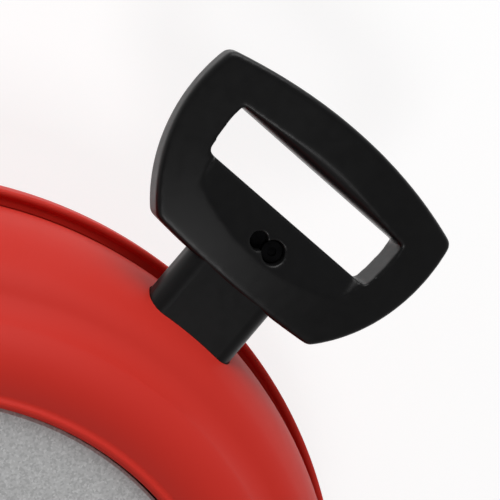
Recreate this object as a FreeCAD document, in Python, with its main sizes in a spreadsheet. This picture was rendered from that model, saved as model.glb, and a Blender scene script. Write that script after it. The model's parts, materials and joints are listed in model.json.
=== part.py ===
"""Curling stone with a side D-grip: a granite core in two moulded shells, standing on a running ring.

Frame: +Z up, +X towards the grip. The origin is where the stone's vertical axis meets the ice.
Every length is in millimetres and is kept in the Sizes sheet.
"""

import FreeCAD, Part
import math
import os
import re

import Sketcher

doc = FreeCAD.newDocument("curling_stone")

# ---------------------------------------------------------------- driving dimensions
SIZES = [
    # stone, outside
    ("rim_radius", 145.5, "outer radius of the rolled lip"),
    ("rim_height", 54.0, "lip plane above the ice"),
    ("lip_width", 2.4, "thickness of the rolled lip"),
    ("lip_rise", 1.2, "top of the lip above the lip plane"),
    ("lip_depth", 5.0, "height of the straight band under the lip plane"),
    ("groove_width", 3.1, "gap between the lip and the upper shell's skirt"),
    ("groove_depth", 3.5, "depth of that gap under the lip plane"),
    ("flank_drop", 3.2, "how far the middle of the flank lies inside the skirt"),
    ("flank_rise", 28.0, "height of the middle of the flank above the lip plane"),
    ("crease_inset", 28.5, "crease between flank and shoulder, in from the lip"),
    ("crease_rise", 54.0, "crease above the lip plane"),
    ("shoulder_bulge", 2.2, "crown of the shoulder above its chord"),
    ("shoulder_width", 21.8, "from the crease in to the opening round the granite disc"),
    ("bead_width", 2.6, "width of the inner bead"),
    ("bead_height", 2.2, "height of the inner bead above the shoulder"),
    ("shoulder_rise", 7.8, "inner edge of the shoulder above the crease"),
    ("wall", 4.0, "wall of both shells"),
    # stone, underside
    ("belly_inset", 43.5, "edge of the flat base, in from the lip"),
    ("belly_bulge", 12.0, "roundness of the belly outside its chord"),
    ("base_height", 5.0, "flat base above the ice"),
    ("ring_land", 4.3, "flat base between the running ring and the hollow"),
    ("cup_slope", 5.0, "run of the hollow's sloping side"),
    ("cup_depth", 7.0, "depth of the hollow under the centre"),
    ("floor_margin", 9.0, "raised floor beyond the middle of the running ring"),
    ("ring_radius", 61.0, "mean radius of the running ring"),
    ("ring_width", 7.2, "width of the running ring"),
    ("ring_height", 9.3, "height of the running ring"),
    ("ring_crown", 0.8, "round on the ring's running edges"),
    ("glue_gap", 0.1, "bond line round glued and moulded-in pieces"),
    # granite and pads
    ("core_inset", 20.5, "granite in from the lip"),
    ("core_foot_rise", 18.0, "height of the granite's lower slope"),
    ("core_taper", 24.0, "height of the granite's upper slope"),
    ("core_foot_inset", 21.0, "granite's underside, in from its straight band"),
    ("core_shoulder_inset", 13.0, "granite's upper shoulder, in from its straight band"),
    ("core_headroom", 8.0, "upper shoulder of the granite under the crease"),
    ("disc_gap", 0.5, "gap between the granite disc and the bead"),
    ("disc_drop", 1.6, "granite disc below the shoulder's inner edge"),
    ("disc_chamfer", 0.8, "broken edge of the granite disc"),
    ("pad_thickness", 3.0, "rubber pads above and below the granite"),
    ("pad_width", 9.0, "width of the upper pad"),
    ("lower_pad_gap", 9.0, "lower pad beyond the raised floor"),
    ("centre_pad_thickness", 1.0, "rubber disc under the granite's middle"),
    # centre bolt
    ("bolt_radius", 5.0, "M10 centre bolt"),
    ("bolt_gap", 0.4, "clearance round the bolt"),
    ("bolt_head_flats", 17.0, "across flats of the M10 head and nut"),
    ("bolt_head_height", 5.6, "height of the bolt head"),
    ("bolt_nut_height", 8.0, "height of the nut"),
    ("bolt_end", 2.0, "thread showing over the nut"),
    ("sleeve_wall", 2.6, "wall of the bore sleeve"),
    ("washer_radius", 14.0, "radius of both bolt washers"),
    ("washer_thickness", 2.0, "thickness of both bolt washers"),
    ("nut_pocket_radius", 18.0, "radius of the pocket round the nut"),
    ("nut_pocket_depth", 14.0, "depth of that pocket"),
    ("cap_thickness", 2.0, "top of the centre cap"),
    ("cap_skirt", 9.0, "depth of the centre cap's skirt"),
    ("cap_wall", 1.8, "wall of the centre cap's skirt"),
    ("cap_gap", 0.2, "clearance round the centre cap"),
    # shell joint
    ("gasket_thickness", 1.0, "rim gasket"),
    ("gasket_width", 2.6, "width of the rim gasket"),
    ("ledge_thickness", 4.0, "ledge that carries the upper shell"),
    ("ledge_width", 4.5, "width of that ledge"),
    ("boss_inset", 13.0, "circle of screw bosses, in from the lip"),
    ("boss_radius", 5.0, "screw bosses"),
    ("boss_rise", 15.0, "height of the upper bosses"),
    ("shell_screw_radius", 2.0, "M4 shell screws"),
    ("shell_screw_length", 22.0, "length under the head"),
    ("shell_screw_head_radius", 3.5, "screw head"),
    ("shell_screw_head_height", 2.8, "screw head"),
    ("shell_screw_seat", 12.0, "thickness of boss under the screw head"),
    ("screw_gap", 0.3, "clearance of screw holes"),
    ("shell_screw_count", 8, "screws round the rim"),
    # neck
    ("handle_rise", 26.5, "mid-plane of the grip above the lip plane"),
    ("neck_width", 32.0, "neck across the stone's tangent"),
    ("neck_thickness", 13.0, "neck along Z"),
    ("neck_round", 5.4, "corner radius of the neck's section"),
    ("neck_socket", 3.0, "how far the neck enters the grip"),
    ("socket_gap", 0.15, "clearance of the neck in the grip"),
    ("window_gap", 0.3, "clearance of the neck in the shell"),
    # bracket in the granite pocket
    ("pocket_depth", 19.0, "flat face of the granite pocket, in from the granite's edge"),
    ("pocket_margin", 3.0, "pocket beside the bracket"),
    ("pocket_headroom", 2.0, "pocket above and below the bracket"),
    ("bracket_thickness", 5.0, "steel bracket plate"),
    ("bracket_edge", 6.0, "bracket beyond its bolts"),
    ("bracket_height", 24.0, "bracket along Z"),
    ("bracket_round", 4.0, "corners of the bracket plate"),
    ("bolt_head_gap", 0.5, "gap between the neck and the bracket bolts' heads"),
    ("anchor_radius", 4.5, "brass anchor in the granite"),
    ("anchor_length", 22.0, "length of the anchor"),
    ("bracket_bolt_radius", 3.0, "M6 bracket bolt"),
    ("bracket_bolt_length", 22.0, "length under the head"),
    ("bracket_bolt_head_radius", 5.0, "socket head"),
    ("bracket_bolt_head_height", 4.0, "low socket head"),
    # tang
    ("tang_width", 12.0, "steel tang across"),
    ("tang_thickness", 6.0, "steel tang along Z"),
    ("tang_wall", 2.7, "plastic between the tang and the finger slot"),
    ("tang_gap", 0.1, "clearance round the tang"),
    ("neck_pin_radius", 1.5, "roll pins through neck and tang"),
    ("neck_pin_inset", 17.0, "first roll pin from the neck's root"),
    ("neck_pin_pitch", 16.0, "distance between the roll pins"),
    ("pin_cover", 2.0, "plastic left over the blind end of the pins"),
    # grip
    ("grip_reach", 7.7, "gap between the lip and the grip's bottom edge"),
    ("grip_bottom_bow", 1.4, "bow of the bottom edge"),
    ("grip_bottom_width", 61.2, "distance between the lower corners"),
    ("grip_length", 52.0, "upper corners from the bottom edge"),
    ("grip_top_width", 90.6, "distance between the upper corners"),
    ("grip_top_bow", 6.2, "bow of the top edge"),
    ("grip_side_bow", 7.1, "bow of the sides"),
    ("grip_corner", 3.4, "round of the grip's corners"),
    ("grip_thickness", 16.5, "grip along Z at its middle"),
    ("front_crown", 230.0, "radius of the crowned front face"),
    ("back_crown", 300.0, "radius of the crowned back face"),
    ("grip_front_edge", 1.5, "round of the grip's front edges"),
    ("grip_back_edge", 3.0, "round of the grip's back edges"),
    ("slot_setback", 25.5, "near edge of the finger slot from the bottom edge"),
    ("slot_width", 15.9, "finger slot across"),
    ("slot_near_width", 63.4, "length of the slot at its near edge"),
    ("slot_far_width", 65.4, "length of the slot at its far edge"),
    ("slot_bow", 0.6, "bow of the slot's ends"),
    ("slot_corner", 1.7, "round of the slot's corners"),
    ("bar_round", 5.0, "round of the bar towards the fingers"),
    ("scoop_setback", 11.0, "where the scoop begins, from the bottom edge"),
    ("scoop_slope", 15.2, "slope of the scoop in degrees"),
    ("scoop_inset", 1.9, "scoop inside the ends of the slot"),
    ("scoop_round", 2.5, "round in the ends of the scoop"),
    ("keyhole_setback", 15.4, "keyhole from the bottom edge"),
    ("keyhole_pitch", 5.8, "distance between the keyhole's lobes"),
    ("keyhole_large", 3.6, "radius of the large lobe"),
    ("keyhole_small", 2.8, "radius of the small lobe"),
    ("grip_screw_radius", 2.0, "M4 grip screw"),
    ("grip_screw_head_radius", 3.2, "grip screw head"),
    ("grip_screw_head_height", 1.6, "grip screw head"),
    ("insert_radius", 3.0, "brass insert for the grip screw"),
    ("insert_length", 4.6, "length of the insert"),
]

sheet = doc.addObject("Spreadsheet::Sheet", "Sizes")
for row, (alias, size, meaning) in enumerate(SIZES, start=1):
    sheet.set(f"A{row}", meaning)
    sheet.set(f"B{row}", str(size))
    sheet.setAlias(f"B{row}", alias)
doc.recompute()

ALIASES = {alias for alias, size, meaning in SIZES}


def linked(text):
    """Turn plain aliases in a formula into references to the sheet."""
    return re.sub(r"[a-z_]+", lambda word: sheet_name(word.group()), text)


def sheet_name(word):
    return f"Sizes.{word}" if word in ALIASES else word


def size_of(text):
    """The present value of a formula written with the sheet's aliases."""
    return float(sheet.evalExpression(linked(text)))


def bind(thing, prop, text):
    thing.setExpression(prop, linked(text))


# ---------------------------------------------------------------- sketches
def new_body(name):
    return doc.addObject("PartDesign::Body", name)


def sketch_on(body, role, name, offset=None):
    """A sketch on one of the body's own origin planes, lifted off it by a formula."""
    sketch = body.newObject("Sketcher::SketchObject", name)
    plane = [item for item in body.Origin.OriginFeatures if item.Role == role][0]
    sketch.AttachmentSupport = [(plane, "")]
    sketch.MapMode = "FlatFace"
    if offset:
        bind(sketch, "AttachmentOffset.Base.z", offset)
    return sketch


def tie_point(sketch, geometry, point, across, along):
    """Hold a sketch point at two formulas measured from the sketch's origin."""
    for kind, text in (("DistanceX", across), ("DistanceY", along)):
        constraint = Sketcher.Constraint(kind, -1, 1, geometry, point, size_of(text))
        index = sketch.addConstraint(constraint)
        bind(sketch, f"Constraints[{index}]", text)


def outline(sketch, corners):
    """A closed outline. A corner is (across, along), or has a third entry, the point
    that the arc to the next corner passes through."""
    places = [FreeCAD.Vector(size_of(c[0]), size_of(c[1]), 0) for c in corners]
    edges = []
    for index, corner in enumerate(corners):
        start = places[index]
        end = places[(index + 1) % len(places)]
        if len(corner) == 3:
            through = FreeCAD.Vector(size_of(corner[2][0]), size_of(corner[2][1]), 0)
            edges.append(sketch.addGeometry(Part.Arc(start, through, end), False))
        else:
            edges.append(sketch.addGeometry(Part.LineSegment(start, end), False))
    first_points = []
    for index, edge in enumerate(edges):
        straight = sketch.Geometry[edge].TypeId == "Part::GeomLineSegment"
        begins = straight or (sketch.getPoint(edge, 1) - places[index]).Length < 1e-6
        first_points.append((1, 2) if begins else (2, 1))
    for index, edge in enumerate(edges):
        following = (index + 1) % len(edges)
        constraint = Sketcher.Constraint(
            "Coincident", edge, first_points[index][1], edges[following], first_points[following][0]
        )
        sketch.addConstraint(constraint)
        tie_point(sketch, edge, first_points[index][0], corners[index][0], corners[index][1])
        if len(corners[index]) == 3:
            across, along = corners[index][2]
            mark = Part.Point(FreeCAD.Vector(size_of(across), size_of(along), 0))
            guide = sketch.addGeometry(mark, True)
            tie_point(sketch, guide, 1, across, along)
            sketch.addConstraint(Sketcher.Constraint("PointOnObject", guide, 1, edge))


def circle(sketch, across, along, radius):
    centre = FreeCAD.Vector(size_of(across), size_of(along), 0)
    normal = FreeCAD.Vector(0, 0, 1)
    ring = sketch.addGeometry(Part.Circle(centre, normal, size_of(radius)), False)
    tie_point(sketch, ring, 3, across, along)
    index = sketch.addConstraint(Sketcher.Constraint("Radius", ring, size_of(radius)))
    bind(sketch, f"Constraints[{index}]", radius)


def rectangle(sketch, left, right, low, high):
    outline(sketch, [(left, low), (right, low), (right, high), (left, high)])


# ---------------------------------------------------------------- features
def revolve(body, sketch, name):
    feature = body.newObject("PartDesign::Revolution", name)
    feature.Profile = sketch
    feature.ReferenceAxis = (sketch, ["V_Axis"])
    feature.Angle = 360
    return feature


def pad(body, sketch, name, length, symmetric=False, reverse=False):
    feature = body.newObject("PartDesign::Pad", name)
    feature.Profile = sketch
    bind(feature, "Length", length)
    feature.SideType = "Symmetric" if symmetric else "One side"
    feature.Reversed = reverse
    return feature


def pocket(body, sketch, name, length, symmetric=False, reverse=False):
    """Cut a sketch into the body, and make sure that the cut removes something."""
    doc.recompute()
    before = body.Shape.Volume
    feature = body.newObject("PartDesign::Pocket", name)
    feature.Profile = sketch
    bind(feature, "Length", length)
    feature.SideType = "Symmetric" if symmetric else "One side"
    feature.Reversed = reverse
    doc.recompute()
    if body.Shape.Volume >= before:
        raise RuntimeError(f"{name} cuts nothing")
    return feature


def fillet(body, name, base, chosen, radius):
    """Round the edges of the base feature that the test picks."""
    doc.recompute()
    names = [f"Edge{i}" for i, edge in enumerate(base.Shape.Edges, start=1) if chosen(edge)]
    if not names:
        raise RuntimeError(f"{name} finds no edge")
    feature = body.newObject("PartDesign::Fillet", name)
    feature.Base = (base, names)
    bind(feature, "Radius", radius)
    doc.recompute()
    return feature


def turned(name, corners):
    """A body turned round the stone's vertical axis from one profile of (radius, height)."""
    body = new_body(name)
    sketch = sketch_on(body, "XZ_Plane", f"{name}_profile")
    outline(sketch, corners)
    revolve(body, sketch, f"{name}_turning")
    return body


def tube(name, inner, outer, low, high):
    return turned(name, [(inner, low), (outer, low), (outer, high), (inner, high)])


def cut(name, base, *tools):
    """The base with every tool taken out of it."""
    result = doc.addObject("Part::Cut", name)
    result.Base = base
    if len(tools) == 1:
        result.Tool = tools[0]
    else:
        together = doc.addObject("Part::MultiFuse", f"{name}_tools")
        together.Shapes = list(tools)
        result.Tool = together
    result.Refine = True
    return result


def cylinder(name, radius, height, across, along, low):
    """A Part cylinder whose size and place follow the sheet."""
    rod = doc.addObject("Part::Cylinder", name)
    bind(rod, "Radius", radius)
    bind(rod, "Height", height)
    bind(rod, "Placement.Base.x", across)
    bind(rod, "Placement.Base.y", along)
    bind(rod, "Placement.Base.z", low)
    return rod


# ---------------------------------------------------------------- places shared by several pieces
SKIRT = "( rim_radius - lip_width - groove_width )"
CREASE = "( rim_radius - crease_inset )"
BEAD_BORE = f"( {CREASE} - shoulder_width )"
LEDGE = "( rim_height - groove_depth )"
SEAT = f"( {LEDGE} + gasket_thickness )"
CREASE_TOP = "( rim_height + crease_rise )"
SHOULDER_TOP = f"( {CREASE_TOP} + shoulder_rise )"
DISC_TOP = f"( {SHOULDER_TOP} - disc_drop )"
HUB = f"( {BEAD_BORE} + wall )"
CORE_TOP = f"( {CREASE_TOP} - core_headroom )"
HUB_BOTTOM = f"( {CORE_TOP} + pad_thickness )"
BELLY = "( rim_radius - belly_inset )"
CUP_EDGE = "( ring_radius - ring_width / 2 - glue_gap - ring_land )"
CUP = f"( {CUP_EDGE} - cup_slope )"
CUP_TOP = "( base_height + cup_depth )"
FLOOR_TOP = f"( {CUP_TOP} + wall )"
FLOOR_STEP = "( ring_radius + floor_margin )"
LOWER_PAD_TOP = "( base_height + wall + pad_thickness )"
CENTRE_PAD_TOP = f"( {FLOOR_TOP} + centre_pad_thickness )"
CORE = "( rim_radius - core_inset )"
CORE_FOOT = f"( {CORE} - core_foot_inset )"
CORE_SHOULDER = f"( {CORE} - core_shoulder_inset )"
BORE = "( bolt_radius + bolt_gap + sleeve_wall + glue_gap )"
NUT_FLOOR = f"( {DISC_TOP} - nut_pocket_depth )"
BOSS_CIRCLE = "( rim_radius - boss_inset )"
HANDLE = "( rim_height + handle_rise )"
POCKET_FACE = f"( {CORE} - pocket_depth )"
NECK_ROOT = f"( {POCKET_FACE} + bracket_thickness )"
NECK_PIN = f"( {NECK_ROOT} + neck_pin_inset )"
ANCHOR_SIDE = "( neck_width / 2 + bolt_head_gap + bracket_bolt_head_radius )"
ANCHOR_SIDES = (f"0 - {ANCHOR_SIDE}", ANCHOR_SIDE)
BRACKET_SIDE = f"( {ANCHOR_SIDE} + bracket_edge )"
GRIP_START = "( rim_radius + grip_reach )"
NECK_TIP = f"( {GRIP_START} + neck_socket )"
SLOT_START = f"( {GRIP_START} + slot_setback )"
SLOT_END = f"( {SLOT_START} + slot_width )"
SCOOP_START = f"( {GRIP_START} + scoop_setback )"
KEYHOLE = f"( {GRIP_START} + keyhole_setback )"
TANG_END = f"( {SLOT_START} - tang_wall )"
EVERY_SCREW = range(int(size_of("shell_screw_count")))


def screw_angle(index):
    """Screws stand half a step away from the grip's side."""
    step = 360.0 / len(EVERY_SCREW)
    return step * (index + 0.5)


def rim_cylinders(name, radius, height, low):
    """One cylinder at every rim screw, fused into one tool."""
    posts = []
    for index in EVERY_SCREW:
        angle = math.radians(screw_angle(index))
        across = f"{BOSS_CIRCLE} * {math.cos(angle):.9f}"
        along = f"{BOSS_CIRCLE} * {math.sin(angle):.9f}"
        posts.append(cylinder(f"{name}_{index}", radius, height, across, along, low))
    together = doc.addObject("Part::MultiFuse", name)
    together.Shapes = posts
    return together


# ---------------------------------------------------------------- upper shell
def make_top_shell():
    flank_middle = (f"{SKIRT} - flank_drop", "rim_height + flank_rise")
    shoulder_end = f"( {BEAD_BORE} + bead_width )"
    middle = f"( {CREASE} + {shoulder_end} ) / 2"
    crown = f"( {CREASE_TOP} + {SHOULDER_TOP} ) / 2 + shoulder_bulge"
    bead_middle = (f"{BEAD_BORE} + bead_width / 2", f"{SHOULDER_TOP} + bead_height")
    blank = turned("top_shell_blank", [
        (BEAD_BORE, HUB_BOTTOM),
        (HUB, HUB_BOTTOM),
        (HUB, SEAT),
        (SKIRT, SEAT),
        (SKIRT, "rim_height", flank_middle),
        (CREASE, CREASE_TOP, (middle, crown)),
        (shoulder_end, SHOULDER_TOP, bead_middle),
        (BEAD_BORE, SHOULDER_TOP),
    ])
    cavity = turned("top_shell_cavity", [
        (f"{HUB} - wall / 2", f"{SEAT} - wall"),
        (f"{SKIRT} - wall", f"{SEAT} - wall"),
        (f"{SKIRT} - wall", "rim_height",
         (f"{SKIRT} - flank_drop - wall", "rim_height + flank_rise - wall / 5")),
        (f"{CREASE} - wall", f"{CREASE_TOP} - wall", (middle, f"{crown} - wall")),
        (HUB, f"{SHOULDER_TOP} - wall"),
        (HUB, HUB_BOTTOM),
        (f"{HUB} - wall / 2", HUB_BOTTOM),
    ])
    posts = rim_cylinders("top_shell_posts", "boss_radius", "boss_rise + wall", f"{SEAT} - wall")
    hollow = cut("top_shell_hollow", cavity, posts)
    pilots = rim_cylinders("top_shell_pilots", "shell_screw_radius", "boss_rise - wall / 2", SEAT)
    window = neck_section("top_shell_window", "window_gap", NECK_ROOT, "rim_radius")
    return cut("top_shell", blank, hollow, pilots, window)


# ---------------------------------------------------------------- lower shell
def make_lower_shell():
    lip_inner = "( rim_radius - lip_width )"
    lip_middle = ("rim_radius - lip_width / 2", "rim_height + lip_rise")
    band = "( rim_height - lip_depth )"
    chord = f"sqrt( ( rim_radius - {BELLY} ) ^ 2 + ( {band} - base_height ) ^ 2 )"
    across = f"( rim_radius + {BELLY} ) / 2 + belly_bulge * ( {band} - base_height ) / {chord}"
    along = f"( {band} + base_height ) / 2 - belly_bulge * ( rim_radius - {BELLY} ) / {chord}"
    ring_inner = "( ring_radius - ring_width / 2 - glue_gap )"
    ring_outer = "( ring_radius + ring_width / 2 + glue_gap )"
    bolt_hole = "( bolt_radius + bolt_gap )"
    inner_wall = "( rim_radius - wall - lip_width )"
    ledge_inner = f"( {SKIRT} - ledge_width )"
    blank = turned("lower_shell_blank", [
        (bolt_hole, CUP_TOP),
        (CUP, CUP_TOP),
        (f"{CUP} + cup_slope", "base_height"),
        (ring_inner, "base_height"),
        (ring_inner, "ring_height"),
        (ring_outer, "ring_height"),
        (ring_outer, "base_height"),
        (BELLY, "base_height", (across, along)),
        ("rim_radius", band),
        ("rim_radius", "rim_height - lip_rise / 2", lip_middle),
        (lip_inner, "rim_height - lip_rise / 2"),
        (lip_inner, LEDGE),
        (ledge_inner, LEDGE),
        (ledge_inner, SEAT),
        (bolt_hole, SEAT),
    ])
    cavity = turned("lower_shell_cavity", [
        (f"{bolt_hole} - bolt_gap", FLOOR_TOP),
        (f"{FLOOR_STEP} - wall / 2", FLOOR_TOP),
        (FLOOR_STEP, "base_height + wall"),
        (f"{BELLY} - wall / 2", "base_height + wall", (f"{across} - wall * 0.72", f"{along} + wall * 0.70")),
        (inner_wall, f"{LEDGE} - ledge_thickness"),
        (ledge_inner, f"{LEDGE} - ledge_thickness"),
        (ledge_inner, f"{SEAT} + wall"),
        (f"{bolt_hole} - bolt_gap", f"{SEAT} + wall"),
    ])
    posts = rim_cylinders("lower_shell_posts", "boss_radius", SEAT, "0")
    hollow = cut("lower_shell_hollow", cavity, posts)
    screw_head = f"( {SEAT} - shell_screw_seat )"
    holes = rim_cylinders(
        "lower_shell_holes", "shell_screw_radius + screw_gap", "shell_screw_seat + wall", screw_head
    )
    sinks = rim_cylinders(
        "lower_shell_sinks", "shell_screw_head_radius + screw_gap", screw_head, "0"
    )
    return cut("lower_shell", blank, hollow, holes, sinks)


def make_screw_group(name):
    """The rim screws as one group of separate solids."""
    head_low = size_of(f"{SEAT} - shell_screw_seat - shell_screw_head_height")
    head_height = size_of("shell_screw_head_height")
    length = size_of("shell_screw_length")
    up = FreeCAD.Vector(0, 0, 1)
    screws = []
    for index in EVERY_SCREW:
        angle = math.radians(screw_angle(index))
        across = size_of(BOSS_CIRCLE) * math.cos(angle)
        along = size_of(BOSS_CIRCLE) * math.sin(angle)
        foot = FreeCAD.Vector(across, along, head_low)
        neck = FreeCAD.Vector(across, along, head_low + head_height)
        head = Part.makeCylinder(size_of("shell_screw_head_radius"), head_height, foot, up)
        shank = Part.makeCylinder(size_of("shell_screw_radius"), length, neck, up)
        recess = Part.makeCylinder(size_of("shell_screw_radius") / 2, head_height / 2, foot, up)
        screws.append(head.fuse(shank).cut(recess).removeSplitter())
    group = doc.addObject("Part::Feature", name)
    group.Shape = Part.makeCompound(screws)
    return group


# ---------------------------------------------------------------- running ring, granite and pads
def make_running_ring():
    inner = "( ring_radius - ring_width / 2 )"
    outer = "( ring_radius + ring_width / 2 )"
    body = turned("running_ring", [
        (f"{inner} + ring_crown", "0"),
        (f"{outer} - ring_crown", "0", (f"{outer} - ring_crown * 0.293", "ring_crown * 0.293")),
        (outer, "ring_crown"),
        (outer, "ring_height"),
        (inner, "ring_height"),
        (inner, "ring_crown", (f"{inner} + ring_crown * 0.293", "ring_crown * 0.293")),
    ])
    return body


def make_granite_core():
    disc = f"( {BEAD_BORE} - disc_gap )"
    body = new_body("granite_core")
    profile = sketch_on(body, "XZ_Plane", "granite_profile")
    outline(profile, [
        (BORE, CENTRE_PAD_TOP),
        (f"{FLOOR_STEP} - wall / 2", CENTRE_PAD_TOP),
        (f"{FLOOR_STEP} + pad_thickness", LOWER_PAD_TOP),
        (CORE_FOOT, LOWER_PAD_TOP),
        (CORE, f"{LOWER_PAD_TOP} + core_foot_rise"),
        (CORE, f"{CORE_TOP} - core_taper"),
        (CORE_SHOULDER, CORE_TOP),
        (disc, CORE_TOP),
        (disc, f"{DISC_TOP} - disc_chamfer"),
        (f"{disc} - disc_chamfer", DISC_TOP),
        ("nut_pocket_radius", DISC_TOP),
        ("nut_pocket_radius", NUT_FLOOR),
        (BORE, NUT_FLOOR),
    ])
    revolve(body, profile, "granite_turning")
    pocket_sketch = sketch_on(body, "YZ_Plane", "bracket_pocket_outline", POCKET_FACE)
    rectangle(
        pocket_sketch, f"0 - {BRACKET_SIDE} - pocket_margin", f"{BRACKET_SIDE} + pocket_margin",
        f"{HANDLE} - bracket_height / 2 - pocket_headroom",
        f"{HANDLE} + bracket_height / 2 + pocket_headroom",
    )
    pocket(body, pocket_sketch, "bracket_pocket", CORE, reverse=True)
    holes = sketch_on(body, "YZ_Plane", "anchor_holes_outline", POCKET_FACE)
    for side in ANCHOR_SIDES:
        circle(holes, side, HANDLE, "anchor_radius + glue_gap")
    pocket(body, holes, "anchor_holes", "anchor_length + glue_gap")
    return body


# ---------------------------------------------------------------- centre bolt
def hexagon(sketch, flats):
    corner = f"{flats} / sqrt( 3 )"
    half = f"{flats} / ( 2 * sqrt( 3 ) )"
    side = f"{flats} / 2"
    outline(sketch, [
        ("0", corner), (f"0 - {side}", half), (f"0 - {side}", f"0 - {half}"),
        ("0", f"0 - {corner}"), (side, f"0 - {half}"), (side, half),
    ])


def make_centre_bolt():
    body = new_body("centre_bolt")
    head_top = f"( {CUP_TOP} - washer_thickness )"
    head = sketch_on(body, "XY_Plane", "bolt_head_outline", f"{head_top} - bolt_head_height")
    hexagon(head, "bolt_head_flats")
    pad(body, head, "bolt_head", "bolt_head_height")
    shank = sketch_on(body, "XY_Plane", "bolt_shank_outline", f"{head_top} - washer_thickness")
    circle(shank, "0", "0", "bolt_radius")
    top = f"{NUT_FLOOR} + washer_thickness + bolt_nut_height + bolt_end"
    pad(body, shank, "bolt_shank", f"{top} - {head_top} + washer_thickness")
    return body


def make_top_nut():
    body = new_body("top_nut")
    sketch = sketch_on(body, "XY_Plane", "nut_outline", f"{NUT_FLOOR} + washer_thickness")
    hexagon(sketch, "bolt_head_flats")
    circle(sketch, "0", "0", "bolt_radius")
    pad(body, sketch, "nut", "bolt_nut_height")
    return body


def make_centre_cap():
    """A press-in cap over the nut: a disc with a skirt that grips the pocket."""
    rim = "( nut_pocket_radius - cap_gap )"
    body = new_body("centre_cap")
    profile = sketch_on(body, "XZ_Plane", "cap_profile")
    outline(profile, [
        (f"{rim} - cap_wall", f"{DISC_TOP} - cap_skirt"),
        (rim, f"{DISC_TOP} - cap_skirt"),
        (rim, f"{DISC_TOP} - cap_thickness / 2",
         (f"{rim} - cap_thickness * 0.15", f"{DISC_TOP} - cap_thickness * 0.15")),
        (f"{rim} - cap_thickness / 2", DISC_TOP),
        ("0", DISC_TOP),
        ("0", f"{DISC_TOP} - cap_thickness"),
        (f"{rim} - cap_wall", f"{DISC_TOP} - cap_thickness"),
    ])
    revolve(body, profile, "cap_turning")
    return body


# ---------------------------------------------------------------- neck, bracket and tang
def neck_outline(sketch, gap):
    """Rounded rectangle: the neck's section seen along X."""
    side = f"( neck_width / 2 + {gap} )"
    low = f"( {HANDLE} - neck_thickness / 2 - {gap} )"
    high = f"( {HANDLE} + neck_thickness / 2 + {gap} )"
    bend = f"( neck_round + {gap} )"
    cut_in = f"{bend} * 0.292893"
    outline(sketch, [
        (f"0 - {side} + {bend}", low),
        (f"{side} - {bend}", low, (f"{side} - {cut_in}", f"{low} + {cut_in}")),
        (side, f"{low} + {bend}"),
        (side, f"{high} - {bend}", (f"{side} - {cut_in}", f"{high} - {cut_in}")),
        (f"{side} - {bend}", high),
        (f"0 - {side} + {bend}", high, (f"0 - {side} + {cut_in}", f"{high} - {cut_in}")),
        (f"0 - {side}", f"{high} - {bend}"),
        (f"0 - {side}", f"{low} + {bend}", (f"0 - {side} + {cut_in}", f"{low} + {cut_in}")),
    ])


def neck_section(name, gap, start, end):
    """A straight bar of the neck's section, from start to end along X."""
    body = new_body(name)
    sketch = sketch_on(body, "YZ_Plane", f"{name}_outline", start)
    neck_outline(sketch, gap)
    pad(body, sketch, f"{name}_length", f"( {end} ) - ( {start} )")
    return body


def tang_hole(body, name, start, end):
    """A rectangular hole along X that the tang slides into."""
    sketch = sketch_on(body, "YZ_Plane", f"{name}_outline", start)
    rectangle(
        sketch, "0 - tang_width / 2 - tang_gap", "tang_width / 2 + tang_gap",
        f"{HANDLE} - tang_thickness / 2 - tang_gap",
        f"{HANDLE} + tang_thickness / 2 + tang_gap",
    )
    pocket(body, sketch, name, f"( {end} ) - ( {start} )", reverse=True)


def make_neck():
    body = neck_section("neck", "0", NECK_ROOT, NECK_TIP)
    tang_hole(body, "neck_tang_hole", NECK_ROOT, NECK_TIP)
    pins = sketch_on(
        body, "XY_Plane", "neck_pin_outline", f"{HANDLE} + neck_thickness / 2 - pin_cover"
    )
    circle(pins, NECK_PIN, "0", "neck_pin_radius")
    circle(pins, f"{NECK_PIN} + neck_pin_pitch", "0", "neck_pin_radius")
    pocket(body, pins, "neck_pin_holes", "neck_thickness")
    return body


def make_neck_pins():
    body = new_body("neck_pins")
    low = f"( {HANDLE} - neck_thickness / 2 + pin_cover / 2 )"
    sketch = sketch_on(body, "XY_Plane", "pins_outline", low)
    circle(sketch, NECK_PIN, "0", "neck_pin_radius")
    circle(sketch, f"{NECK_PIN} + neck_pin_pitch", "0", "neck_pin_radius")
    pad(body, sketch, "pins_length", "neck_thickness - pin_cover * 1.5")
    return body


def make_tang():
    body = new_body("tang")
    sketch = sketch_on(body, "YZ_Plane", "tang_outline", POCKET_FACE)
    rectangle(
        sketch, "0 - tang_width / 2", "tang_width / 2",
        f"{HANDLE} - tang_thickness / 2", f"{HANDLE} + tang_thickness / 2",
    )
    pad(body, sketch, "tang_bar", f"{TANG_END} - {POCKET_FACE}")
    holes = sketch_on(body, "XY_Plane", "tang_holes_outline", HANDLE)
    circle(holes, NECK_PIN, "0", "neck_pin_radius")
    circle(holes, f"{NECK_PIN} + neck_pin_pitch", "0", "neck_pin_radius")
    circle(holes, KEYHOLE, KEYHOLE_LARGE_Y, "grip_screw_radius + tang_gap")
    pocket(body, holes, "tang_holes", "tang_thickness * 2", symmetric=True)
    return body


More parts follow.
